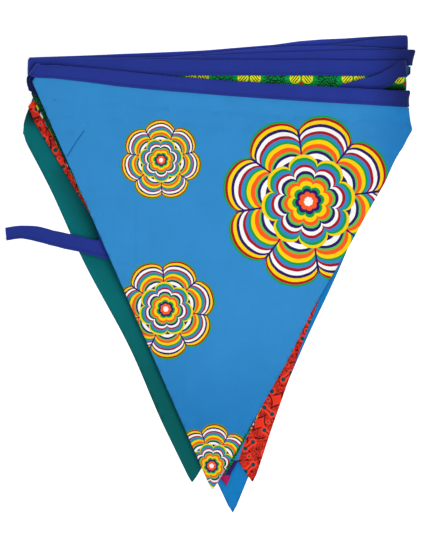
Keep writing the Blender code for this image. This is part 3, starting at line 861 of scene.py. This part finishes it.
# Binding and tie
# One strip of royal blue cotton 20 mm wide, its edges pressed in, folded in two over the flags' raw
# top edges and sewn shut. It runs back and forth over the stack, and its free end is the tie.
TAPE_MM = 10.0
TAPE_STEP_MM = 1.6
TAPE_SHARP_TURN = math.radians(60)
CUT_END_MM = 3.0
LONG_EDGE_MM = 3.0
STITCH_LINE_MM = 1.5
STITCH_PITCH_MM = 2.8
TAPE_OUTLINE = [
    # mm up from the mouth; half thickness there
    (0.0, 0.66), (-0.1, 0.82), (0.12, 0.98), (0.6, 1.06), (STITCH_LINE_MM, 0.94), (2.4, 1.08),
    (4.0, 1.20), (6.0, 1.26), (8.0, 1.20), (9.1, 1.00), (9.75, 0.62), (10.0, 0.0),
]
SLOT_OUTLINE = [
    # mm up from the mouth; half height of the slot there
    (7.4, 0.0), (7.0, 0.45), (3.0, 0.60),
]
TAPE_EDGES = [
    # mm from the tie's cut end; mm from the solid's mouth up to the tape's mouth and to its fold
    (0.0, 2.0, 10.2), (5.0, 2.4, 10.6), (10.0, 2.7, 10.9), (20.0, 0.9, 10.6), (29.0, 0.1, 9.6),
    (39.0, 0.3, 10.2), (48.0, 1.2, 10.9), (58.5, 1.0, 11.0), (61.0, 0.8, 13.6),
    (80.0, -0.3, 11.3), (86.0, -1.4, 11.3), (93.0, -1.2, 11.0), (101.0, 0.0, 10.6),
    (120.0, 0.0, 10.0), (187.0, 0.0, 10.0), (198.0, -4.1, 10.0), (203.0, -3.0, 10.0),
    (207.0, 2.2, 10.0), (220.0, 2.5, 10.8), (240.0, 2.0, 11.0), (260.0, 1.0, 10.9),
    (300.0, 0.6, 10.1), (360.0, 0.2, 10.0), (400.0, 0.0, 10.0), (690.0, 0.0, 10.0),
    (735.0, 0.0, 11.1), (765.0, 0.0, 11.7), (810.0, 0.0, 11.8), (845.0, 0.0, 11.4),
    (890.0, 0.0, 10.0), (1500.0, 0.0, 10.0), (1540.0, 0.0, 11.0), (1564.0, 0.0, 11.2),
    (1580.0, 0.0, 11.8), (1594.0, 0.0, 11.7), (1610.0, 0.0, 10.7), (1655.0, 0.0, 10.7),
    (1680.0, 0.0, 11.2), (1708.0, 0.0, 11.8), (1766.0, 0.0, 11.8),
]
PUFF_SHARE = 0.07
PUFF_SCALES = (90.0, 0.12)
PUFF_DRAW = 3.0
WANDER_MM = 0.16
WANDER_SCALE = 30.0
WANDER_DRAW = 9.0
TAPE_PULLS = [
    # x mm, y mm, reach mm, move in x and y mm
    (128.5, 132.0, 9.0, -1.3, 0.0),
    (128.8, 142.0, 5.0, 0.9, 0.0),
    (123.5, 115.5, 6.0, 1.8, 0.3),
]
TAPE_BLUE = dye(35, 52, 143)
TAPE_UNEVENNESS = 0.22
TAPE_RELIEF = 0.07
TAPE_BUMP = 0.7
TAPE_FINISH = (0.86, 0.15)
DIMPLE_MM = 1.6
DIMPLE_RELIEF = 0.3
DIMPLE_PAINTED_SHADE = 0.22
LIP_MM = 0.5
FOLD_MM = 0.9
EDGE_PAINTED_SHADE = 0.1
TURNED_UNDER_MM = ((187.0, 191.0), (206.0, 204.5))
TURNED_PAINTED_SHADE = 0.75
RIGHT_ENDS_MM = (96.0, 131.0)
RIGHT_PAINTED_SHADE = 0.68
BACK_LENGTHS_MM = (900.0, 1500.0)
BACK_PAINTED_LIGHT = 0.5
BACKMOST_MM = (1300.0, 1350.0)
BEFORE_TURN_MM = ((58.0, 90.0), (124.0, 106.0))


def ring_cycle(ring):
    """The points of one station in order round its outline."""
    inside = set(ring)
    beside = {vert: [] for vert in ring}
    for vert in ring:
        for edge in vert.link_edges:
            other = edge.other_vert(vert)
            outer = any(not inside.issuperset(face.verts) for face in edge.link_faces)
            if other in inside and outer:
                beside[vert].append(other)
    cycle = [ring[0]]
    while len(cycle) < len(ring):
        cycle.append(next(vert for vert in beside[cycle[-1]] if vert not in cycle))
    return [vert.co.copy() for vert in cycle]


def tape_stations():
    """Mouth, fold and facing of the binding at each station of its solid, from the cut end on."""
    bm = merged_copy("binding")
    bm.verts.index_update()
    end = min(vert.co.x for vert in bm.verts)
    ring = [vert for vert in bm.verts if vert.co.x < end + CUT_END_MM * MM]
    seen = set(ring)
    stations, facing = [], Vector((0, 0, 1))
    while ring:
        cycle = ring_cycle(ring)
        size = len(cycle)
        short = [(cycle[k] - cycle[(k + 1) % size]).length < LONG_EDGE_MM * MM for k in range(size)]
        first = next(k for k in range(size) if all(short[(k + i) % size] for i in range(3)))
        lips = cycle[first - 1], cycle[(first + 4) % size]
        if (lips[0] - lips[1]).dot(facing) < 0:
            lips = lips[::-1]
        facing = (lips[0] - lips[1]).normalized()
        mouth = (lips[0] + lips[1]) / 2
        fold = (cycle[(first + 1) % size] + cycle[(first + 2) % size]) / 2
        stations.append([mouth[:], fold[:], facing[:]])
        beyond = {edge.other_vert(vert) for vert in ring for edge in vert.link_edges} - seen
        ring = sorted(beyond, key=lambda vert: vert.index)
        seen.update(ring)
    bm.free()
    return np.array(stations)


def held_slopes(values, gaps):
    """Slopes at the stations that let no curve between two of them swing out past either."""
    rise = np.diff(values, axis=0) / gaps[:, None, None]
    before, after = rise[:-1], rise[1:]
    near = (2 * gaps[1:] + gaps[:-1])[:, None, None]
    far = (gaps[1:] + 2 * gaps[:-1])[:, None, None]
    onward = before * after > 0
    shares = near / np.where(onward, before, 1.0) + far / np.where(onward, after, 1.0)
    mean = (near + far) / shares
    return np.concatenate([rise[:1], np.where(onward, mean, 0.0), rise[-1:]])


def drawn_out(stations):
    """The stations joined by a smooth curve, with many more of them, and their place along it."""
    middle = stations[:, :2].mean(axis=1)
    gaps = np.linalg.norm(np.diff(middle, axis=0), axis=1)
    place = np.concatenate([[0.0], np.cumsum(gaps)])
    slope = held_slopes(stations, gaps)
    rows, places = [], []
    for k, gap in enumerate(gaps):
        steps = max(2, math.ceil(gap / (TAPE_STEP_MM * MM)))
        last = k == len(gaps) - 1
        for t in np.linspace(0.0, 1.0, steps + 1)[:None if last else -1]:
            here, beyond = 2 * t ** 3 - 3 * t ** 2 + 1, 3 * t ** 2 - 2 * t ** 3
            leaving, reaching = t ** 3 - 2 * t ** 2 + t, t ** 3 - t ** 2
            rows.append(stations[k] * here + stations[k + 1] * beyond
                        + slope[k] * gap * leaving + slope[k + 1] * gap * reaching)
            places.append(place[k] + gap * t)
    rows = np.array(rows)
    rows[:, 2] /= np.linalg.norm(rows[:, 2], axis=1)[:, None]
    return rows, np.array(places)


def softened(rows, places, width_mm, thick_mm):
    """Points of one line along the tape, at a height above its mouth and off its middle plane."""
    mouth, fold, facing = rows[:, 0], rows[:, 1], rows[:, 2]
    across = (fold - mouth) / TAPE_MM
    along, up = PUFF_SCALES
    puff = [noise.noise(Vector((place * along, width_mm * up, PUFF_DRAW))) for place in places]
    wander = [noise.noise(Vector((place * WANDER_SCALE, 0.0, WANDER_DRAW))) for place in places]
    thick = thick_mm * (1.0 + PUFF_SHARE * np.array(puff))
    shift = WANDER_MM * np.array(wander)
    at, low, high = np.array(TAPE_EDGES).T
    low = np.interp(places / MM, at, low)
    width = low + (np.interp(places / MM, at, high) - low) * width_mm / TAPE_MM + shift
    points = mouth + across * width[:, None] + facing * (thick * MM)[:, None]
    points[:, 2] += laid_over_surface(points)
    pulled(points, TAPE_PULLS)
    return points


def sewn_binding(rows, places):
    """The tape as one closed mesh, with the way along and across it as its UV map."""
    outline = TAPE_OUTLINE + [(width, -half) for width, half in reversed(TAPE_OUTLINE[:-1])]
    outline += [(width, -half) for width, half in reversed(SLOT_OUTLINE[1:])] + SLOT_OUTLINE
    lines = [softened(rows, places, width, half) for width, half in outline]
    points = np.stack(lines, axis=1)
    count, size = points.shape[:2]
    faces = [list(range(size)), [(count - 1) * size + k for k in reversed(range(size))]]
    for k in range(count - 1):
        for i in range(size):
            j = (i + 1) % size
            faces.append([k * size + j, k * size + i, (k + 1) * size + i, (k + 1) * size + j])
    mesh = bpy.data.meshes.new("binding_tape")
    mesh.from_pydata(points.reshape(-1, 3).tolist(), [], faces)
    layout = mesh.uv_layers.new(name="along_tape")
    spots = np.array([(place, width * MM) for place in places for width, _ in outline])
    corners = np.zeros(len(mesh.loops), dtype=np.int32)
    mesh.loops.foreach_get("vertex_index", corners)
    layout.data.foreach_set("uv", spots[corners].astype(np.float32).ravel())
    bm = bmesh.new()
    bm.from_mesh(mesh)
    bmesh.ops.recalc_face_normals(bm, faces=bm.faces[:])
    bm.to_mesh(mesh)
    bm.free()
    mesh.shade_smooth()
    mesh.set_sharp_from_angle(angle=TAPE_SHARP_TURN)
    return placed("binding_tape", mesh)


def tape_material():
    """Royal blue cotton that follows the tape, with a dimple where each stitch pulls it down.
    Painted shade darkens the dimples, the mouth and fold edges, the stretch turned under and the
    right ends, and painted light makes the back lengths paler.
    """
    material, n, shader = new_material("royal_blue_tape")
    place = n.add("ShaderNodeUVMap", uv_map="along_tape").outputs["UV"]
    cloth = woven(n, place, TAPE_UNEVENNESS)
    along, width, _ = n.apart(place)
    from_stitches = n.math("ABSOLUTE", n.math("SUBTRACT", width, STITCH_LINE_MM * MM))
    gathered = n.ease(from_stitches, DIMPLE_MM * MM, 0.0)
    beat = n.math("SINE", n.math("MULTIPLY", along, 2 * math.pi / (STITCH_PITCH_MM * MM)))
    dimple = n.math("MULTIPLY", gathered, n.math("MULTIPLY_ADD", beat, 0.25, 0.5))
    # Painted shade darkens each stitch's dimple.
    shade = dimmed(n, cloth["Shade"], dimple, DIMPLE_PAINTED_SHADE)
    # Painted shade darkens the tape along its mouth and fold edges.
    lip = n.ease(width, LIP_MM * MM, 0.0)
    fold = n.ease(width, (TAPE_MM - FOLD_MM) * MM, TAPE_MM * MM)
    shade = dimmed(n, shade, n.math("MAXIMUM", lip, fold), EDGE_PAINTED_SHADE)
    # Painted shade darkens the stretch of tape turned under near the tie.
    turned = [n.ease(along, low * MM, high * MM) for low, high in TURNED_UNDER_MM]
    shade = dimmed(n, shade, n.math("MULTIPLY", *turned), TURNED_PAINTED_SHADE)
    # Painted shade darkens the tape's right ends.
    x, _, _ = n.apart(place_mm(n))
    shade = dimmed(n, shade, n.ease(x, *RIGHT_ENDS_MM), RIGHT_PAINTED_SHADE)
    # Painted light makes the back lengths paler, all but part of the backmost one.
    backmost = n.ease(along, *[at * MM for at in BACKMOST_MM])
    before_turn = n.math("MULTIPLY", *[n.ease(x, low, high) for low, high in BEFORE_TURN_MM])
    plain = n.math("SUBTRACT", 1.0, n.math("MULTIPLY", before_turn, backmost))
    painted_light = n.math("MULTIPLY", n.ease(along, *[at * MM for at in BACK_LENGTHS_MM]), plain)
    shade = dimmed(n, shade, painted_light, -BACK_PAINTED_LIGHT)
    n.join(shader.inputs["Base Color"], n.mix(1.0, TAPE_BLUE, shade, "MULTIPLY"))
    sunk = n.math("MULTIPLY", dimple, -DIMPLE_RELIEF)
    raised(n, shader, n.math("MULTIPLY_ADD", cloth["Height"], TAPE_RELIEF, sunk), TAPE_BUMP)
    dull(shader, *TAPE_FINISH)
    return material


tape_rows, tape_places = drawn_out(tape_stations())
binding_tape = sewn_binding(tape_rows, tape_places)
binding_tape.data.materials.append(tape_material())
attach(binding_tape, "root")
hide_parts("binding")

# Stitching along the binding
# One row of straight machine stitches in blue thread closes the binding near its mouth. The needle
# thread shows on one side and the bobbin thread on the other, sunk a little into the cloth.
STITCH_MM = 2.3
THREAD_WIDTH_MM = 0.36
THREAD_BLUE = dye(32, 48, 134)
PLY_BLUE = dye(26, 38, 108)
PLY_SCALE = 6.0
THREAD_FINISH = (0.8, 0.15)
STITCH_SIDES = 6
STITCH_RINGS = 5


def stitch_row_tree():
    """Geometry nodes that set a stitch at even steps along each line of the mesh."""
    tree = bpy.data.node_groups.new("stitch_row", "GeometryNodeTree")
    face = tree.interface
    face.new_socket("Geometry", in_out="INPUT", socket_type="NodeSocketGeometry")
    for name in ("Pitch", "Stitch Length", "Thread Width"):
        face.new_socket(name, in_out="INPUT", socket_type="NodeSocketFloat")
    face.new_socket("Material", in_out="INPUT", socket_type="NodeSocketMaterial")
    face.new_socket("Geometry", in_out="OUTPUT", socket_type="NodeSocketGeometry")
    n = Nodes(tree)
    takes = n.add("NodeGroupInput").outputs
    gives = n.add("NodeGroupOutput").inputs
    line = n.add("GeometryNodeMeshToCurve", {"Mesh": takes["Geometry"]})
    points = n.add("GeometryNodeResampleCurve", {"Curve": line.outputs["Curve"],
                                                 "Length": takes["Pitch"]}, mode="LENGTH")
    bead = n.add("GeometryNodeMeshUVSphere", {"Segments": STITCH_SIDES, "Rings": STITCH_RINGS,
                                              "Radius": 0.5})
    size = n.add("ShaderNodeCombineXYZ", {"X": takes["Stitch Length"], "Y": takes["Thread Width"],
                                          "Z": takes["Thread Width"]})
    turned = n.add("GeometryNodeTransform", {"Geometry": bead.outputs["Mesh"],
                                             "Rotation": (0.0, math.pi / 2, 0.0)})
    stitch = n.add("GeometryNodeTransform", {"Geometry": turned.outputs["Geometry"],
                                             "Scale": size.outputs["Vector"]})
    heading = n.add("GeometryNodeInputTangent")
    turn = n.add("FunctionNodeAlignRotationToVector", {"Vector": heading.outputs["Tangent"]},
                 axis="X")
    row = n.add("GeometryNodeInstanceOnPoints", {"Points": points.outputs["Curve"],
                                                 "Instance": stitch.outputs["Geometry"],
                                                 "Rotation": turn.outputs["Rotation"]})
    real = n.add("GeometryNodeRealizeInstances", {"Geometry": row.outputs["Instances"]})
    smooth = n.add("GeometryNodeSetShadeSmooth", {"Geometry": real.outputs["Geometry"]})
    dyed = n.add("GeometryNodeSetMaterial", {"Geometry": smooth.outputs["Geometry"],
                                             "Material": takes["Material"]})
    n.join(gives["Geometry"], dyed.outputs["Geometry"])
    return tree


def thread_material():
    """Twisted sewing thread, a shade darker than the tape."""
    material, n, shader = new_material("blue_thread")
    ply = n.noise(place_mm(n), PLY_SCALE, 2.0)
    n.join(shader.inputs["Base Color"], n.mix(ply, PLY_BLUE, THREAD_BLUE))
    dull(shader, *THREAD_FINISH)
    return material


def stitch_rows(rows, places):
    """Both rows of stitches as one plain mesh."""
    half = dict(TAPE_OUTLINE)[STITCH_LINE_MM]
    points, edges = [], []
    for side in (1, -1):
        start = len(points)
        line = softened(rows, places, STITCH_LINE_MM, side * half)
        points += line.tolist()
        edges += [(start + k, start + k + 1) for k in range(len(line) - 1)]
    guide_mesh = bpy.data.meshes.new("stitch_line")
    guide_mesh.from_pydata(points, edges, [])
    guide = placed("stitch_line", guide_mesh)
    modifier = guide.modifiers.new("stitches", "NODES")
    modifier.node_group = stitch_row_tree()
    values = {"Pitch": STITCH_PITCH_MM * MM, "Stitch Length": STITCH_MM * MM,
              "Thread Width": THREAD_WIDTH_MM * MM, "Material": thread_material()}
    for socket in modifier.node_group.interface.items_tree:
        if socket.name in values:
            modifier[socket.identifier] = values[socket.name]
    evaluated = guide.evaluated_get(bpy.context.evaluated_depsgraph_get())
    mesh = bpy.data.meshes.new_from_object(evaluated)
    mesh.name = "edge_stitching"
    bpy.data.objects.remove(guide)
    return placed("edge_stitching", mesh)


edge_stitching = stitch_rows(tape_rows, tape_places)
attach(edge_stitching, "root")

# Surface, light and view
# The bunting lies on a plain pale surface under wide, soft studio light, seen straight from above.
SURFACE_HALF = 3.0
PAPER_SHADE = 0.93
PAPER_GLOW = 0.7
ROOM_LIGHT = 0.34
VIEW_CENTRE_MM = (3.09, 3.62)
PHOTO_HEIGHT_MM = 338.8
STACK_MIDDLE_MM = 13.0
LENS_MM = 600.0
SENSOR_MM = 36.0
CLIP_END = 20.0

floor_mesh = bpy.data.meshes.new("surface")
floor_signs = ((-1, -1), (1, -1), (1, 1), (-1, 1))
floor_corners = [(x * SURFACE_HALF, y * SURFACE_HALF, 0.0) for x, y in floor_signs]
floor_mesh.from_pydata(floor_corners, [], [[0, 1, 2, 3]])
surface = placed("surface", floor_mesh)
paper, _, paper_shader = new_material("pale_surface")
paper_shader.inputs["Base Color"].default_value = (PAPER_SHADE, PAPER_SHADE, PAPER_SHADE, 1.0)
paper_shader.inputs["Roughness"].default_value = 0.9
paper_shader.inputs["Emission Color"].default_value = (1.0, 1.0, 1.0, 1.0)
paper_shader.inputs["Emission Strength"].default_value = PAPER_GLOW
floor_mesh.materials.append(paper)

world = bpy.data.worlds.new("studio")
world.use_nodes = True
background = world.node_tree.nodes["Background"]
background.inputs["Color"].default_value = (1.0, 1.0, 1.0, 1.0)
background.inputs["Strength"].default_value = ROOM_LIGHT
bpy.context.scene.world = world


def soft_box(name, place, size, power):
    """A square studio light that faces the middle of the bunting's underside."""
    light = bpy.data.lights.new(name, "AREA")
    light.size = size
    light.energy = power
    obj = placed(name, light)
    obj.location = place
    obj.rotation_euler = (-Vector(place)).to_track_quat("-Z", "Y").to_euler()
    obj.visible_camera = False


soft_box("key_light", (0.07, -0.01, 0.6), 0.3, 2.3)
soft_box("fill_light", (0.0, 0.55, 0.5), 0.4, 0.5)

camera_data = bpy.data.cameras.new("camera")
camera_data.lens = LENS_MM
camera_data.sensor_width = SENSOR_MM
camera_data.clip_end = CLIP_END
camera = placed("camera", camera_data)
camera_height = PHOTO_HEIGHT_MM * MM * LENS_MM / SENSOR_MM + STACK_MIDDLE_MM * MM
camera.location = (VIEW_CENTRE_MM[0] * MM, VIEW_CENTRE_MM[1] * MM, camera_height)
bpy.context.scene.camera = camera
bpy.context.scene.view_settings.view_transform = "Standard"
